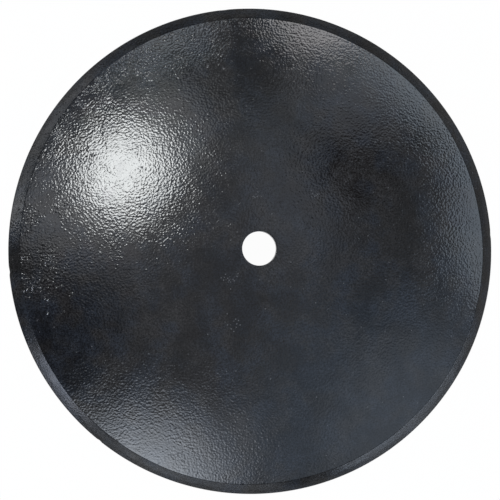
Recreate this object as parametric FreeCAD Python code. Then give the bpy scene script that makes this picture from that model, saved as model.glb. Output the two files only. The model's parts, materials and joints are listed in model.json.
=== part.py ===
import FreeCAD, Part
import math
import os

# Harrow disc blade. One round steel plate is pressed to a shallow spherical dish,
# ground to an outside bevel all round its rim and punched with a round arbor bore.
# It lies on its rim with the convex side up. Lengths are in millimetres. +Z is the
# axis of the bore, and the origin is the middle of the bore's wall.

# Driving dimensions
edge_diameter = 660.4  # across the cutting edge, 26 in
dish_radius = 800.0  # spherical radius of the hollow side
plate_thickness = 8.0  # measured square to the dish
bevel_reach = 19.0  # from the cutting edge inwards, measured along the convex side
edge_land = 2.0  # blunt thickness that the bevel leaves at the cutting edge
bore_diameter = 45.0  # clears a 44.45 mm (1-3/4 in) round axle
bore_lip = 0.8  # rounding where the bore meets the two sides

# Worked out from them
bore_radius = bore_diameter / 2
outer_radius = dish_radius + plate_thickness
land_radius = dish_radius + edge_land
edge_angle = math.asin(edge_diameter / 2 / land_radius)
bevel_angle = edge_angle - bevel_reach / outer_radius
outer_bore_angle = math.asin(bore_radius / outer_radius)
inner_bore_angle = math.asin(bore_radius / dish_radius)
bore_top = outer_radius * math.cos(outer_bore_angle)
bore_bottom = dish_radius * math.cos(inner_bore_angle)
dish_centre_z = -(bore_top + bore_bottom) / 2

origin = FreeCAD.Vector(0, 0, 0)
up = FreeCAD.Vector(0, 0, 1)


def section_point(radius, angle):
    """A point of the section, by its distance from the dish's centre and its angle from +Z."""
    return FreeCAD.Vector(
        radius * math.sin(angle), 0, dish_centre_z + radius * math.cos(angle)
    )


def dish_arc(radius, start_angle, end_angle):
    """The section's edge along one side of the dished plate."""
    middle_angle = (start_angle + end_angle) / 2
    return Part.Arc(
        section_point(radius, start_angle),
        section_point(radius, middle_angle),
        section_point(radius, end_angle),
    ).toShape()


def blade_section():
    """Half section of the plate, from the bore out to the cutting edge and back."""
    bore_upper = section_point(outer_radius, outer_bore_angle)
    bevel_start = section_point(outer_radius, bevel_angle)
    land_outer = section_point(land_radius, edge_angle)
    land_inner = section_point(dish_radius, edge_angle)
    bore_lower = section_point(dish_radius, inner_bore_angle)

    convex_side = dish_arc(outer_radius, outer_bore_angle, bevel_angle)
    bevel = Part.LineSegment(bevel_start, land_outer).toShape()
    land = Part.LineSegment(land_outer, land_inner).toShape()
    hollow_side = dish_arc(dish_radius, edge_angle, inner_bore_angle)
    bore_wall = Part.LineSegment(bore_lower, bore_upper).toShape()
    return Part.Face(Part.Wire([convex_side, bevel, land, hollow_side, bore_wall]))


def is_bore_rim(edge):
    """True for the two circles where the bore's wall meets the sides of the plate."""
    curve = edge.Curve
    return isinstance(curve, Part.Circle) and math.isclose(curve.Radius, bore_radius, rel_tol=1e-6)


def make_blade():
    """The whole blade: the section turned about the bore's axis, with its bore lips rounded."""
    turned = blade_section().revolve(origin, up, 360)
    rims = [edge for edge in turned.Edges if is_bore_rim(edge)]
    return turned.makeFillet(bore_lip, rims)


def main():
    os.makedirs("parts", exist_ok=True)
    blade = make_blade()
    blade.exportStep(os.path.join("parts", "disc_blade.step"))

    box = blade.BoundBox
    print("disc_blade valid", blade.isValid(), "solids", len(blade.Solids))
    print("across", round(box.XLength, 3), "high", round(box.ZLength, 3))
    print("lowest", round(box.ZMin, 3), "highest", round(box.ZMax, 3))
    print("volume cm3", round(blade.Volume / 1000, 1))


main()
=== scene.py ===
import json
import math

import bpy
from bpy.props import FloatProperty, FloatVectorProperty, PointerProperty
from bpy.types import NodeSocket, Operator, Panel, PropertyGroup
from mathutils import Matrix, Vector, noise


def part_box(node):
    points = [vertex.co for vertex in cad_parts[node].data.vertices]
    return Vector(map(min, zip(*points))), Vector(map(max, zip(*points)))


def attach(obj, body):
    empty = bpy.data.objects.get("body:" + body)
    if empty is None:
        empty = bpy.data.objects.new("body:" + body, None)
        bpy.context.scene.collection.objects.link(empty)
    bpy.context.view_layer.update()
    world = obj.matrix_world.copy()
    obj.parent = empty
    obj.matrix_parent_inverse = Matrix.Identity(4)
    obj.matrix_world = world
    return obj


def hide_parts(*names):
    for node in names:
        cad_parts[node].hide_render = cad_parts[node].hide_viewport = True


bl_info = {
    "name": "Harrow Disc Blade",
    "version": (1, 0, 0),
    "blender": (4, 5, 0),
    "location": "3D View > Sidebar > Disc Blade",
    "description": "Builds a dished and bevelled harrow blade in black paint, on a pale studio floor",
    "category": "Object",
}

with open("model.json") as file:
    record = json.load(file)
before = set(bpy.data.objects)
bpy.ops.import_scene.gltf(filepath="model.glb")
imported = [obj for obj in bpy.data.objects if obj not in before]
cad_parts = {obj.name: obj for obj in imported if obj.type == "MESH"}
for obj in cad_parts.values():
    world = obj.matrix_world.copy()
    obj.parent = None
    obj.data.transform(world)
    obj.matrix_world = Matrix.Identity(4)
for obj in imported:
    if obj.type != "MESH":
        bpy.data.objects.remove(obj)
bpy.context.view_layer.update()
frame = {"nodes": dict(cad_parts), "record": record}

blade_node = next(iter(frame["nodes"]))
node_low, node_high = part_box(blade_node)
bore_mount = next(m for m in frame["record"]["mounts"] if m["name"] == "bore")


class DiscBladeSizes(PropertyGroup):
    """Sizes of the dished plate, in metres."""

    rim_radius: FloatProperty(
        name="Rim radius", description="From the axis to the cutting edge",
        default=(node_high.x - node_low.x) / 2, unit="LENGTH")
    bore_radius: FloatProperty(
        name="Bore radius", description="Wall of the arbor bore",
        default=bore_mount["dims"]["r_mm"] / 1000, unit="LENGTH")
    dish_radius: FloatProperty(
        name="Dish radius", description="Spherical radius of the hollow side",
        default=0.8, unit="LENGTH")
    plate: FloatProperty(
        name="Plate", description="Thickness of the plate, square to the dish",
        default=0.008, unit="LENGTH")
    bevel_reach: FloatProperty(
        name="Bevel reach", description="How far the ground bevel reaches in from the edge",
        default=0.019, unit="LENGTH")
    land: FloatProperty(
        name="Edge land", description="Blunt thickness left at the cutting edge",
        default=0.002, unit="LENGTH")
    bore_lip: FloatProperty(
        name="Bore lip", description="Rounding of the bore's two lips",
        default=0.0008, unit="LENGTH")


class DiscBladeWear(PropertyGroup):
    """How far the real plate strays from a true one, in metres."""

    bevel_wander: FloatProperty(
        name="Bevel wander", description="How far the bevel's inner border strays",
        default=0.0011, unit="LENGTH")
    bevel_crown: FloatProperty(
        name="Bevel crown", description="How far the ground bevel bulges",
        default=0.0002, unit="LENGTH")
    plate_wave: FloatProperty(
        name="Plate wave", description="Height of the slow waves that pressing leaves in the plate",
        default=0.00012, unit="LENGTH")
    nick_depth: FloatProperty(
        name="Nick depth", description="Depth of the small nicks in the cutting edge",
        default=0.0011, unit="LENGTH")
    nick_width: FloatProperty(
        name="Nick width", description="Half width of a nick along the edge",
        default=0.0035, unit="LENGTH")


class DiscBladePaint(PropertyGroup):
    """Black paint over rolled steel."""

    colour: FloatVectorProperty(
        name="Colour", description="Black of the paint", subtype="COLOR",
        size=3, min=0, max=1, default=(0.0093, 0.0096, 0.0104))
    roughness: FloatProperty(
        name="Roughness", description="Roughness of the film between its grains",
        default=0.10, min=0, max=1, subtype="FACTOR")
    shine: FloatProperty(
        name="Shine", description="Specular level of the film",
        default=0.8, min=0, max=1, subtype="FACTOR")
    bevel_roughness: FloatProperty(
        name="Bevel roughness", description="Roughness of the film on the ground bevel",
        default=0.22, min=0, max=1, subtype="FACTOR")
    bevel_shine: FloatProperty(
        name="Bevel shine", description="Specular level of the film on the ground bevel",
        default=0.13, min=0, max=1, subtype="FACTOR")
    bevel_grain: FloatProperty(
        name="Bevel grain", description="Height of the grain on the bevel, as a share of the face's",
        default=0.4, min=0, max=1, subtype="FACTOR")
    grain_size: FloatProperty(
        name="Grain size", description="Width of one grain of the orange peel",
        default=0.0028, unit="LENGTH")
    grain_height: FloatProperty(
        name="Grain height", description="Height of the orange peel",
        default=0.00024, unit="LENGTH")
    pip_height: FloatProperty(
        name="Pip height", description="Height of the scattered raised grains",
        default=0.00010, unit="LENGTH")
    grit_height: FloatProperty(
        name="Grit height", description="Height of the coarse grit near the rim",
        default=0.00045, unit="LENGTH")
    pit_depth: FloatProperty(
        name="Pit depth", description="Depth of the scattered pits",
        default=0.00016, unit="LENGTH")
    dust_colour: FloatVectorProperty(
        name="Dust", description="Colour of the scattered pale specks", subtype="COLOR",
        size=3, min=0, max=1, default=(0.12, 0.12, 0.125))


class DiscBladeStudio(PropertyGroup):
    """Camera, floor and lamps."""

    camera_distance: FloatProperty(
        name="Camera distance", description="From the middle of the rim to the camera",
        default=2.4, unit="LENGTH")
    camera_tilt: FloatProperty(
        name="Camera tilt", description="Angle between the blade's axis and the camera",
        default=math.radians(6.29), subtype="ANGLE")
    camera_side: FloatProperty(
        name="Camera side", description="Direction round the axis on which the camera stands",
        default=math.radians(196.27), subtype="ANGLE")
    camera_lens: FloatProperty(
        name="Lens", description="Focal length in millimetres",
        default=127.09, unit="CAMERA")
    lamp_distance: FloatProperty(
        name="Lamp distance", description="From the bore to each lamp",
        default=8.0, unit="LENGTH")
    floor_colour: FloatVectorProperty(
        name="Floor", description="Colour of the floor", subtype="COLOR",
        size=3, min=0, max=1, default=(0.9, 0.9, 0.9))
    room_colour: FloatVectorProperty(
        name="Room", description="Dim light of the room round the lamps", subtype="COLOR",
        size=3, min=0, max=1, default=(0.206, 0.214, 0.232))


# Section of the plate

around = 480  # sections round the axis
face_rings = 112
hollow_rings = 56
bevel_rings = 9
land_rings = 2
wall_rings = 3
lip_steps = 4
corner_steps = 3
edge_round = 0.0003  # radius of the cutting edge's two corners, in metres
border_round = 0.004  # radius where the bevel meets the face, in metres
crease = 0.55  # where the bevel's two grinding passes meet, as a share of its width

# The point that gives a side's direction at a corner lies corner_gap along it (radians).
# Rings keep half that gap from a corner, and lip_gap lip radii from the bore.
corner_gap = 0.002
lip_gap = 1.02

# From which to which share of a straight stretch its rings are spaced
bevel_span = (0.03, 0.985)
land_span = (0.2, 0.8)
wall_span = (0.1, 0.9)


def section_point(radius, angle, centre_z):
    """A point (distance from the axis, height) on a sphere about the dish's centre."""
    return Vector((radius * math.sin(angle), centre_z + radius * math.cos(angle)))


def between(start, end, count):
    """Evenly spaced values from start to end, without either end."""
    return [start + (end - start) * (k + 1) / (count + 1) for k in range(count)]


def rounded(corner, before, after, radius, steps):
    """A small arc that rounds a corner of the section."""
    into = (corner - before).normalized()
    out = (after - corner).normalized()
    turn = into.angle(out)
    start = corner - into * radius * math.tan(turn / 2)
    centre = corner + (out - into).normalized() * radius / math.cos(turn / 2)
    sense = 1 if into.x * out.y - into.y * out.x > 0 else -1
    arm = start - centre
    points = []
    for k in range(steps + 1):
        angle = sense * turn * k / steps
        points.append(centre + Vector((
            arm.x * math.cos(angle) - arm.y * math.sin(angle),
            arm.x * math.sin(angle) + arm.y * math.cos(angle))))
    return points


def bevel_points(border, land_outer, crown):
    """Points along the bevel, which bulges by crown where its grinding passes meet."""
    along = (land_outer - border).normalized()
    bevel_out = Vector((-along.y, along.x))
    points = []
    for share in between(*bevel_span, bevel_rings):
        bulge = crown * min(share / crease, (1 - share) / (1 - crease))
        points.append(border.lerp(land_outer, share) + bevel_out * bulge)
    return points


def blade_section(sizes, border_shift, crown):
    """The plate's closed half section, which of its rings are bevel, and the dish's centre."""
    outer = sizes.dish_radius + sizes.plate
    inner = sizes.dish_radius
    land_radius = sizes.dish_radius + sizes.land
    edge = math.asin(sizes.rim_radius / land_radius)
    border_angle = edge - (sizes.bevel_reach + border_shift) / outer
    outer_bore = math.asin(sizes.bore_radius / outer)
    inner_bore = math.asin(sizes.bore_radius / inner)
    lip_angle = sizes.bore_lip * lip_gap / outer
    centre_z = node_low.z - inner * math.cos(edge)

    def on(radius, angle):
        return section_point(radius, angle, centre_z)

    bore_top = on(outer, outer_bore)
    border = on(outer, border_angle)
    land_outer = on(land_radius, edge)
    land_inner = on(inner, edge)
    bore_bottom = on(inner, inner_bore)

    points = rounded(
        bore_top, bore_bottom, on(outer, outer_bore + corner_gap), sizes.bore_lip, lip_steps)
    face_end = border_angle - corner_gap / 2
    points += [on(outer, a) for a in between(outer_bore + lip_angle, face_end, face_rings)]

    bevel_start = len(points)
    points += rounded(
        border, on(outer, border_angle - corner_gap), land_outer, border_round, corner_steps)
    points += bevel_points(border, land_outer, crown)
    bevel_end = len(points)

    points += rounded(land_outer, border, land_inner, edge_round, corner_steps)
    points += [land_outer.lerp(land_inner, share) for share in between(*land_span, land_rings)]
    points += rounded(
        land_inner, land_outer, on(inner, edge - corner_gap), edge_round, corner_steps)

    hollow_start = edge - corner_gap / 2
    points += [on(inner, a) for a in between(hollow_start, inner_bore + lip_angle, hollow_rings)]
    points += rounded(
        bore_bottom, on(inner, inner_bore + corner_gap), bore_top, sizes.bore_lip, lip_steps)
    points += [bore_bottom.lerp(bore_top, share) for share in between(*wall_span, wall_rings)]
    return points, (bevel_start, bevel_end), centre_z


# Wear of the plate

# Soft noises: how often each repeats, how strong it is and where it starts
border_waves = ((1.3, 1.2, (3.1, 0.4, 2.0)), (9.0, 0.5, (7.3, 1.9, 5.0)))
crown_waves = ((2.2, 1.4, (0.9, 6.1, 1.4)), (7.0, 0.8, (2.7, 3.3, 8.0)))
plate_waves = ((9.0, 1.0, (1.7, 4.2, 0.3)), (24.0, 0.35, (5.1, 0.7, 2.3)))

# The pressed plate is true inside the first share of the rim's radius, and its waves
# take the second share to grow from there and to die away at the rim
true_share = 0.09
fade_share = 0.12

# Stretches of the rim where the bevel was ground wider or narrower: direction, half
# length (degrees), how far its inner border lies in from its even place (metres)
border_stretches = (
    (62, 20, 0.0021),
    (120, 10, -0.0009),
    (255, 24, -0.0017),
    (315, 20, 0.0011),
    (350, 12, -0.0009),
)

# Nicks in the cutting edge: direction (degrees), share of the full depth
nicks = ((185, 1.0), (4, 0.55), (231, 0.7), (97, 0.4))
nick_reach = 0.004  # how far in from the edge a nick is felt, in metres
nick_taper = 1.5  # how quickly a nick ends along the edge


def waviness(place, waves):
    """The sum of a few soft noises at one place."""
    return sum(
        strength * noise.noise(place * pace + Vector(start)) for pace, strength, start in waves)


def round_place(angle):
    """Where one direction round the axis lies on a circle of radius one."""
    return Vector((math.cos(angle), math.sin(angle), 0.0))


def border_wander(wear, angle):
    """How far the bevel's inner border strays at one direction round the rim."""
    ground = 0.0
    for side, half, shift in border_stretches:
        away = (math.degrees(angle) - side + 180) % 360 - 180
        ground += shift * math.exp(-(away / half) ** 2)
    return ground + wear.bevel_wander * waviness(round_place(angle), border_waves)


def bevel_crown(wear, angle):
    """How far the bevel's two grinding passes meet above its chord at one direction."""
    return wear.bevel_crown * (1.0 + waviness(round_place(angle), crown_waves))


def nick_at(wear, sizes, angle):
    """How far a nick cuts into the edge at one direction round the rim."""
    cut = 0.0
    for side, strength in nicks:
        away = (angle - math.radians(side) + math.pi) % math.tau - math.pi
        along = abs(away) * sizes.rim_radius / wear.nick_width
        cut = max(cut, strength * wear.nick_depth * math.exp(-along * along * nick_taper))
    return cut


def held(value):
    """A value held between nothing and one."""
    return min(1.0, max(0.0, value))


def plate_wave(wear, sizes, x, y):
    """Slow unevenness of the pressed plate at one place, nothing at the bore and the rim."""
    reach = math.hypot(x, y) / sizes.rim_radius
    fade = held((reach - true_share) / fade_share) * held((1.0 - reach) / fade_share)
    return -wear.plate_wave * fade * (1.0 + waviness(Vector((x, y, 0.0)), plate_waves))


def plate_rows(sizes, wear):
    """The plate's points, section after section round the axis, and which rings are bevel."""
    rows = []
    for step in range(around):
        angle = math.tau * step / around
        shift, crown = border_wander(wear, angle), bevel_crown(wear, angle)
        section, bevel, centre_z = blade_section(sizes, shift, crown)
        cut = nick_at(wear, sizes, angle)
        centre = Vector((0.0, 0.0, centre_z))
        for radius, height in section:
            near_edge = max(0.0, 1.0 - (sizes.rim_radius - radius) / nick_reach)
            radius -= cut * near_edge
            x, y = radius * math.cos(angle), radius * math.sin(angle)
            point = Vector((x, y, height))
            out = (point - centre).normalized()
            rows.append(point + out * plate_wave(wear, sizes, x, y))
    return rows, len(section), bevel


def plate_mesh(sizes, wear):
    """The blade as one closed mesh, with the bevel's faces in the second material."""
    rows, rings, (bevel_start, bevel_end) = plate_rows(sizes, wear)
    faces, finishes = [], []
    for step in range(around):
        here, there = step * rings, (step + 1) % around * rings
        for ring in range(rings):
            after = (ring + 1) % rings
            faces.append((here + ring, here + after, there + after, there + ring))
            finishes.append(1 if bevel_start <= ring < bevel_end else 0)
    mesh = bpy.data.meshes.new("disc_blade_plate")
    mesh.from_pydata(rows, [], faces)
    mesh.polygons.foreach_set("material_index", finishes)
    mesh.polygons.foreach_set("use_smooth", [True] * len(faces))
    mesh.validate()
    mesh.update()
    return mesh


# Directions and nodes, for the paint and the studio

# Places of the Mix node's inputs and output when it mixes colours
mix_share, mix_first, mix_second = 0, 6, 7
mix_result = 2


def direction(azimuth, elevation):
    """A unit vector from two angles in degrees."""
    turn, rise = math.radians(azimuth), math.radians(elevation)
    return Vector((math.cos(rise) * math.cos(turn), math.cos(rise) * math.sin(turn), math.sin(rise)))


def new_material(name):
    """An empty node material with its output node."""
    material = bpy.data.materials.new(name)
    material.use_nodes = True
    material.node_tree.nodes.clear()
    output = material.node_tree.nodes.new("ShaderNodeOutputMaterial")
    return material, material.node_tree, output


def node(tree, kind, **values):
    """A node with its properties set, and its inputs where the name is an input's."""
    made = tree.nodes.new(kind)
    for name, value in values.items():
        if name in made.inputs:
            made.inputs[name].default_value = value
        else:
            setattr(made, name, value)
    return made


def feed(tree, value, socket):
    """Links a socket to another node's output, or sets it, or leaves it as it is for None."""
    if isinstance(value, NodeSocket):
        tree.links.new(value, socket)
    elif value is not None:
        socket.default_value = value


def maths(tree, operation, first, second=None, third=None):
    """The result of one sum on up to three outputs or numbers."""
    made = node(tree, "ShaderNodeMath", operation=operation)
    for socket, value in zip(made.inputs, (first, second, third)):
        feed(tree, value, socket)
    return made.outputs[0]


def vector_maths(tree, operation, first, second=None, scale=None):
    """The node for one sum on vectors, each an output or three numbers."""
    made = node(tree, "ShaderNodeVectorMath", operation=operation)
    feed(tree, first, made.inputs[0])
    feed(tree, second, made.inputs[1])
    if scale is not None:
        feed(tree, scale, made.inputs["Scale"])
    return made


def remap(tree, value, low, high, to_low, to_high):
    """An output's range taken smoothly to another range."""
    made = node(tree, "ShaderNodeMapRange", interpolation_type="SMOOTHSTEP")
    made.inputs["From Min"].default_value = low
    made.inputs["From Max"].default_value = high
    made.inputs["To Min"].default_value = to_low
    made.inputs["To Max"].default_value = to_high
    tree.links.new(value, made.inputs["Value"])
    return made.outputs["Result"]


def blended(tree, share, first, second):
    """A colour between two colours, each an output or three numbers."""
    made = node(tree, "ShaderNodeMix", data_type="RGBA")
    tree.links.new(share, made.inputs[mix_share])
    for place, colour in ((mix_first, first), (mix_second, second)):
        linked = isinstance(colour, NodeSocket)
        feed(tree, colour if linked else (*colour, 1), made.inputs[place])
    return made.outputs[mix_result]


def soft_noise(tree, place, size, detail, distortion=0.0):
    """Soft noise whose features are about size wide."""
    made = node(tree, "ShaderNodeTexNoise", Scale=1 / size, Detail=detail, Distortion=distortion)
    tree.links.new(place, made.inputs["Vector"])
    return made.outputs["Fac"]


def varied(tree, place, size, detail, low, high, to_low, to_high, distortion=0.0):
    """A value that changes softly from place to place between to_low and to_high."""
    return remap(
        tree, soft_noise(tree, place, size, detail, distortion), low, high, to_low, to_high)


def marks(tree, place, spacing, width, share):
    """One in the middle of a round mark, for a share of the cells of a scattered pattern."""
    cells = node(tree, "ShaderNodeTexVoronoi", Scale=1 / spacing)
    tree.links.new(place, cells.inputs["Vector"])
    shape = remap(tree, cells.outputs["Distance"], 0.0, width / spacing, 1.0, 0.0)
    split = node(tree, "ShaderNodeSeparateColor")
    tree.links.new(cells.outputs["Color"], split.inputs["Color"])
    chosen = maths(tree, "LESS_THAN", split.outputs["Red"], share)
    return maths(tree, "MULTIPLY", shape, chosen)


# Paint

# The orange peel has a finer grain on its main one: size and height, as shares of it
fine_size = 0.48
fine_height = 0.35
peel_middle = (1 + fine_height) / 2

# Soft changes over the paint: size of a patch (metres), detail, the stretch of the noise
# that counts, what it becomes, and how far the patches are pulled about
peel_swell = (0.008, 0, 0.3, 0.7, 0.85, 1.15)
peel_patches = (0.05, 2, 0.35, 0.65, 0.82, 1.15)
grit_clumps = (0.03, 2, 0.40, 0.56, 0.0, 1.0)
tint_patches = (0.035, 3, 0.38, 0.62, 0.0, 1.0)
speck_shares = (0.045, 2, 0.42, 0.62, 0.01, 0.06)
fine_shade = (0.0022, 1, 0.3, 0.7, 0.4, 1.6)
cloudy_shade = (0.045, 4, 0.36, 0.64, 0.65, 1.45, 0.5)

# Patches where the film is smoother or duller than its own roughness, and by how much
rough_patches = (0.02, 3, 0.3, 0.7)
smoother = 0.03
duller = 0.05

film_ior = 1.5

# Tints between which the black changes
cool_tint = (0.84, 0.98, 1.17)
warm_tint = (1.10, 1.02, 0.93)

# Scattered marks: spacing and width (metres), and the share of the places that have one
pips = (0.0050, 0.0017, 0.5)
pits = (0.017, 0.0014, 0.2)
grit = (0.0036, 0.0018)
grit_share = 0.8
specks = (0.0042, 0.0012)
scuff_marks = (0.0028, 0.0013)

# Rougher paint near the rim on one side: which side (degrees), from where to where it
# grows, outwards from the axis and towards that side (metres), how much higher its peel is
rough_side = 146
rough_outwards = (0.235, 0.285)
rough_towards = (0.15, 0.26)
rough_peel = 0.6

# Small scuffed spots: place across the face and how far each reaches, in metres
scuffs = (
    (-0.005, 0.072, 0.010),
    (-0.038, -0.039, 0.016),
    (-0.033, -0.100, 0.015),
    (0.073, 0.072, 0.010),
    (0.095, 0.102, 0.008),
    (0.118, 0.086, 0.012),
)


def near_scuffs(tree, place):
    """One at the middle of each scuffed spot, fading to nothing round it."""
    near = 0.0
    for x, y, reach in scuffs:
        away = vector_maths(tree, "DISTANCE", place, (x, y, 0.0)).outputs["Value"]
        near = maths(tree, "MAXIMUM", remap(tree, away, 0.0, reach, 1.0, 0.0), near)
    return near


def roughened(tree, place):
    """One in the clumps of rougher paint near the rim, and nothing elsewhere."""
    reach = vector_maths(tree, "LENGTH", place).outputs["Value"]
    outer = remap(tree, reach, *rough_outwards, 0.0, 1.0)
    towards = vector_maths(tree, "DOT_PRODUCT", place, direction(rough_side, 0)).outputs["Value"]
    outer = maths(tree, "MULTIPLY", outer, remap(tree, towards, *rough_towards, 0.0, 1.0))
    return maths(tree, "MULTIPLY", outer, varied(tree, place, *grit_clumps))


def paint_relief(tree, place, paint, grain_share):
    """Height of the paint in metres: orange peel, raised grains, grit and pits."""
    grain = soft_noise(tree, place, paint.grain_size, 0)
    fine = soft_noise(tree, place, paint.grain_size * fine_size, 0)
    peel = maths(tree, "MULTIPLY_ADD", fine, fine_height, grain)
    peel = maths(tree, "SUBTRACT", peel, peel_middle)
    peel = maths(tree, "MULTIPLY", peel, varied(tree, place, *peel_patches))
    peel = maths(tree, "MULTIPLY", peel, varied(tree, place, *peel_swell))
    rougher = roughened(tree, place)
    peel = maths(tree, "MULTIPLY", peel, maths(tree, "MULTIPLY_ADD", rougher, rough_peel, 1.0))
    gritty = maths(tree, "MULTIPLY", rougher, grit_share)
    height = 0.0
    for shape, tall in (
            (peel, paint.grain_height),
            (marks(tree, place, *pips), paint.pip_height),
            (marks(tree, place, *grit, gritty), paint.grit_height),
            (marks(tree, place, *pits), -paint.pit_depth)):
        height = maths(tree, "MULTIPLY_ADD", shape, tall * grain_share, height)
    return height


def paint_colour(tree, place, paint):
    """Black with a slow change of tint and shade, pale specks and scuffs."""
    cool = [part * tint for part, tint in zip(paint.colour, cool_tint)]
    warm = [part * tint for part, tint in zip(paint.colour, warm_tint)]
    black = blended(tree, varied(tree, place, *tint_patches), cool, warm)
    shade = maths(
        tree, "MULTIPLY", varied(tree, place, *fine_shade), varied(tree, place, *cloudy_shade))
    shaded = vector_maths(tree, "SCALE", black, scale=shade).outputs["Vector"]
    specked = marks(tree, place, *specks, varied(tree, place, *speck_shares))
    scuffed = marks(tree, place, *scuff_marks, near_scuffs(tree, place))
    dusted = maths(tree, "MAXIMUM", specked, scuffed)
    return blended(tree, dusted, shaded, paint.dust_colour)


def black_paint(paint, name, grain_share, roughness, shine):
    """Semi-gloss black paint with orange peel, pits and a faint change of tint."""
    material, tree, output = new_material(name)
    place = node(tree, "ShaderNodeTexCoord").outputs["Object"]
    bump = node(tree, "ShaderNodeBump", Strength=1.0, Distance=1.0)
    tree.links.new(paint_relief(tree, place, paint, grain_share), bump.inputs["Height"])
    rough = varied(tree, place, *rough_patches, roughness - smoother, roughness + duller)

    shader = node(tree, "ShaderNodeBsdfPrincipled", IOR=film_ior)
    shader.inputs["Specular IOR Level"].default_value = shine
    tree.links.new(paint_colour(tree, place, paint), shader.inputs["Base Color"])
    tree.links.new(rough, shader.inputs["Roughness"])
    tree.links.new(bump.outputs["Normal"], shader.inputs["Normal"])
    tree.links.new(shader.outputs["BSDF"], output.inputs["Surface"])
    return material


# Studio

floor_span = 24.0
floor_glow = 0.97
floor_gap = 0.0001
rim_height = -0.0728  # of the cutting edge, in metres
sensor_width = 36.0
clip_near, clip_far = 0.05, 60.0

# How far the rim's middle lies off the picture's middle, in picture widths
aim_x, aim_y = 0.0064, -0.0005

# Soft panels: direction round the axis and above the floor, width and height as seen
# from the blade (degrees), radiance, colour
panels = (
    ("key", 140.5, 58, 19, 20, 11.5, (0.97, 1.0, 1.0)),
    ("key_soft", 128, 58, 32, 30, 0.45, (0.96, 1.0, 1.02)),
    ("key_halo", 150, 58, 44, 44, 0.09, (0.95, 1.0, 1.04)),
    ("key_upper", 114, 54, 22, 22, 0.38, (0.95, 1.0, 1.04)),
    ("lower_left", 248, 33, 26, 14, 1.2, (0.92, 0.98, 1.06)),
    ("top", 70, 28, 19, 18, 3.2, (1.01, 1.0, 1.01)),
    ("upper_left", 106, 33, 24, 13, 1.7, (0.90, 1.0, 1.10)),
    ("right", 7, 24, 34, 25, 1.3, (0.85, 1.0, 1.17)),
    ("upper_right", 42, 25, 36, 20, 1.5, (0.87, 1.0, 1.13)),
    ("low_left", 147, 6, 46, 10, 5.4, (0.97, 1.0, 1.05)),
    ("low_bright", 169, 6, 7, 10, 13.0, (0.97, 1.0, 1.05)),
    ("low_lilac", 216, 9, 24, 9, 17.5, (0.88, 0.96, 1.14)),
    ("low_bottom", 255, 5, 56, 10, 5.0, (0.94, 1.0, 1.08)),
    ("low_right", 321, 5, 50, 10, 9.6, (0.88, 1.0, 1.18)),
)

# Soft patches of the room behind them: direction round the axis and above the floor,
# half width and softness (degrees), what each adds or takes away
room_patches = (
    ("overhead", 90, 88, 12, 22, (0.10, 0.10, 0.11)),
    ("arch", 53, 45, 4, 10, (0.51, 0.56, 0.64)),
    ("arch_inner", 42, 73, 4, 10, (0.20, 0.22, 0.26)),
    ("arch_left", 69, 61, 3, 9, (0.22, 0.25, 0.28)),
    ("inner_low", 10, 72, 4, 9, (0.09, 0.11, 0.14)),
    ("dark_upper", 43, 53, 6, 9, (-0.17, -0.19, -0.21)),
    ("dark_lower", 346, 58, 5, 10, (-0.08, -0.09, -0.10)),
    ("lower_left", 250, 34.5, 5, 17, (2.40, 2.62, 2.92)),
    ("bottom", 263, 45, 5, 14, (0.41, 0.44, 0.50)),
    ("left", 163, 50, 4, 11, (0.68, 0.69, 0.73)),
    ("key_tail", 170, 66, 3, 8, (0.26, 0.26, 0.28)),
    ("lower_right", 314, 44, 16, 20, (0.15, 0.21, 0.29)),
    ("right_rim", 318, 34, 8, 18, (0.26, 0.29, 0.33)),
    ("dark_left", 201, 44, 8, 14, (-0.15, -0.16, -0.17)),
)


def floor_material(colour):
    """Pale floor that keeps shadows but is seen close to white."""
    material, tree, output = new_material("studio_floor_paper")
    matt = node(tree, "ShaderNodeBsdfDiffuse", Color=(*colour, 1))
    glow = node(tree, "ShaderNodeEmission", Color=(1, 1, 1, 1), Strength=1.0)
    path = node(tree, "ShaderNodeLightPath")
    seen = maths(tree, "ADD", path.outputs["Is Camera Ray"], path.outputs["Is Glossy Ray"])
    seen = maths(tree, "ADD", seen, path.outputs["Is Transmission Ray"])
    seen = maths(tree, "MINIMUM", seen, 1.0)
    mix = node(tree, "ShaderNodeMixShader")
    tree.links.new(maths(tree, "MULTIPLY", seen, floor_glow), mix.inputs[0])
    tree.links.new(matt.outputs[0], mix.inputs[1])
    tree.links.new(glow.outputs[0], mix.inputs[2])
    tree.links.new(mix.outputs[0], output.inputs["Surface"])
    return material


def make_floor(studio):
    """A wide flat floor just under the rim."""
    half, z = floor_span / 2, node_low.z - floor_gap
    corners = [(-half, -half, z), (half, -half, z), (half, half, z), (-half, half, z)]
    mesh = bpy.data.meshes.new("studio_floor")
    mesh.from_pydata(corners, [], [(0, 1, 2, 3)])
    mesh.materials.append(floor_material(studio.floor_colour))
    floor = bpy.data.objects.new("studio_floor", mesh)
    bpy.context.collection.objects.link(floor)


def camera_place(studio):
    """Where the camera stands, above the middle of the rim and a little to one side."""
    tilt, side = studio.camera_tilt, studio.camera_side
    away = Vector((math.sin(tilt) * math.cos(side), math.sin(tilt) * math.sin(side), math.cos(tilt)))
    return Vector((0, 0, rim_height)) + away * studio.camera_distance


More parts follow.
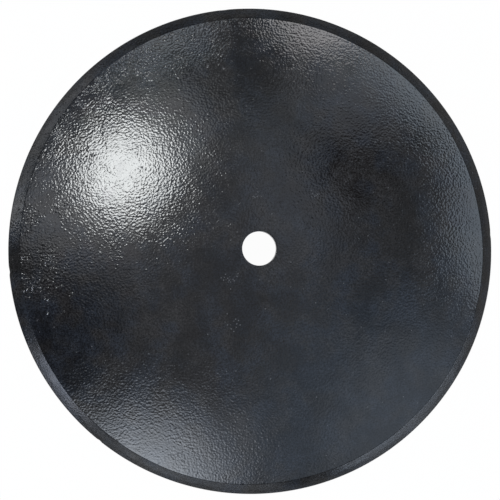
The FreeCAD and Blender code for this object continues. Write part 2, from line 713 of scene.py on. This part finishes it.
def make_camera(studio):
    """The camera, aimed so that the blade sits in the picture as in the photograph."""
    data = bpy.data.cameras.new("studio_camera")
    data.sensor_width = sensor_width
    data.lens = studio.camera_lens
    data.clip_start, data.clip_end = clip_near, clip_far
    camera = bpy.data.objects.new("studio_camera", data)
    bpy.context.collection.objects.link(camera)
    place = camera_place(studio)
    camera.location = place
    span = studio.camera_distance * sensor_width / studio.camera_lens
    aim = Vector((-aim_x * span, -aim_y * span, rim_height))
    forward = (aim - place).normalized()
    right = forward.cross(Vector((0, 1, 0))).normalized()
    up = right.cross(forward)
    camera.rotation_mode = "QUATERNION"
    camera.rotation_quaternion = Matrix((right, up, -forward)).transposed().to_quaternion()
    bpy.context.scene.camera = camera


def make_panel(studio, name, azimuth, elevation, width, height, radiance, colour):
    """A soft panel lamp that faces the crown of the blade."""
    data = bpy.data.lights.new("panel_" + name, "AREA")
    data.shape = "ELLIPSE"
    data.size = 2 * studio.lamp_distance * math.tan(math.radians(width / 2))
    data.size_y = 2 * studio.lamp_distance * math.tan(math.radians(height / 2))
    area = math.pi * data.size * data.size_y / 4
    data.color = [part / max(colour) for part in colour]
    data.energy = radiance * max(colour) * math.pi * area
    lamp = bpy.data.objects.new("panel_" + name, data)
    bpy.context.collection.objects.link(lamp)
    away = direction(azimuth, elevation)
    lamp.location = away * studio.lamp_distance
    lamp.visible_camera = False
    side = Vector((0, 0, 1)).cross(away).normalized()
    lamp.rotation_mode = "QUATERNION"
    lamp.rotation_quaternion = Matrix((side, away.cross(side), away)).transposed().to_quaternion()


def make_room(studio):
    """The dim room that the blade mirrors between the lamps."""
    world = bpy.data.worlds.new("studio_room")
    world.use_nodes = True
    tree = world.node_tree
    ray = node(tree, "ShaderNodeTexCoord").outputs["Generated"]
    light = studio.room_colour
    for name, azimuth, elevation, half, soft, change in room_patches:
        aim = vector_maths(tree, "DOT_PRODUCT", ray, direction(azimuth, elevation))
        aim.label = name
        edge = math.cos(math.radians(half + soft))
        core = math.cos(math.radians(half))
        share = remap(tree, aim.outputs["Value"], edge, core, 0.0, 1.0)
        part = vector_maths(tree, "SCALE", change, scale=share).outputs["Vector"]
        light = vector_maths(tree, "ADD", part, light).outputs["Vector"]
    above_black = vector_maths(tree, "MAXIMUM", light).outputs["Vector"]
    tree.links.new(above_black, tree.nodes["Background"].inputs["Color"])
    bpy.context.scene.world = world


class DISCBLADE_OT_make_plate(Operator):
    """Build the dished plate with its bevel, bore and black paint"""

    bl_idname = "disc_blade.make_plate"
    bl_label = "Make Plate"

    def execute(self, context):
        scene = context.scene
        paint = scene.blade_paint
        mesh = plate_mesh(scene.blade_sizes, scene.blade_wear)
        mesh.materials.append(
            black_paint(paint, "black_paint_face", 1.0, paint.roughness, paint.shine))
        mesh.materials.append(black_paint(
            paint, "black_paint_bevel", paint.bevel_grain, paint.bevel_roughness, paint.bevel_shine))
        plate = bpy.data.objects.new("dished_plate", mesh)
        context.collection.objects.link(plate)
        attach(plate, "root")
        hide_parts(blade_node)
        return {"FINISHED"}


class DISCBLADE_OT_make_studio(Operator):
    """Set up the floor, the lamps and the camera"""

    bl_idname = "disc_blade.make_studio"
    bl_label = "Make Studio"

    def execute(self, context):
        scene = context.scene
        make_floor(scene.blade_studio)
        for panel in panels:
            make_panel(scene.blade_studio, *panel)
        make_room(scene.blade_studio)
        make_camera(scene.blade_studio)
        scene.view_settings.view_transform = "Standard"
        return {"FINISHED"}


class DISCBLADE_PT_sidebar(Panel):
    """Lists the blade's sizes, wear, paint and stage"""

    bl_label = "Disc Blade"
    bl_idname = "DISCBLADE_PT_sidebar"
    bl_space_type = "VIEW_3D"
    bl_region_type = "UI"
    bl_category = "Disc Blade"

    def draw(self, context):
        layout = self.layout
        for group in (context.scene.blade_sizes, context.scene.blade_wear,
                      context.scene.blade_paint, context.scene.blade_studio):
            box = layout.box()
            for name in group.__annotations__:
                box.prop(group, name)
        layout.operator(DISCBLADE_OT_make_plate.bl_idname)
        layout.operator(DISCBLADE_OT_make_studio.bl_idname)


classes = (
    DiscBladeSizes, DiscBladeWear, DiscBladePaint, DiscBladeStudio,
    DISCBLADE_OT_make_plate, DISCBLADE_OT_make_studio, DISCBLADE_PT_sidebar,
)


def register():
    for item in classes:
        bpy.utils.register_class(item)
    bpy.types.Scene.blade_sizes = PointerProperty(type=DiscBladeSizes)
    bpy.types.Scene.blade_wear = PointerProperty(type=DiscBladeWear)
    bpy.types.Scene.blade_paint = PointerProperty(type=DiscBladePaint)
    bpy.types.Scene.blade_studio = PointerProperty(type=DiscBladeStudio)


def unregister():
    del bpy.types.Scene.blade_sizes
    del bpy.types.Scene.blade_wear
    del bpy.types.Scene.blade_paint
    del bpy.types.Scene.blade_studio
    for item in reversed(classes):
        bpy.utils.unregister_class(item)


def main():
    register()
    bpy.ops.disc_blade.make_plate()
    bpy.ops.disc_blade.make_studio()


if __name__ == "__main__":
    main()
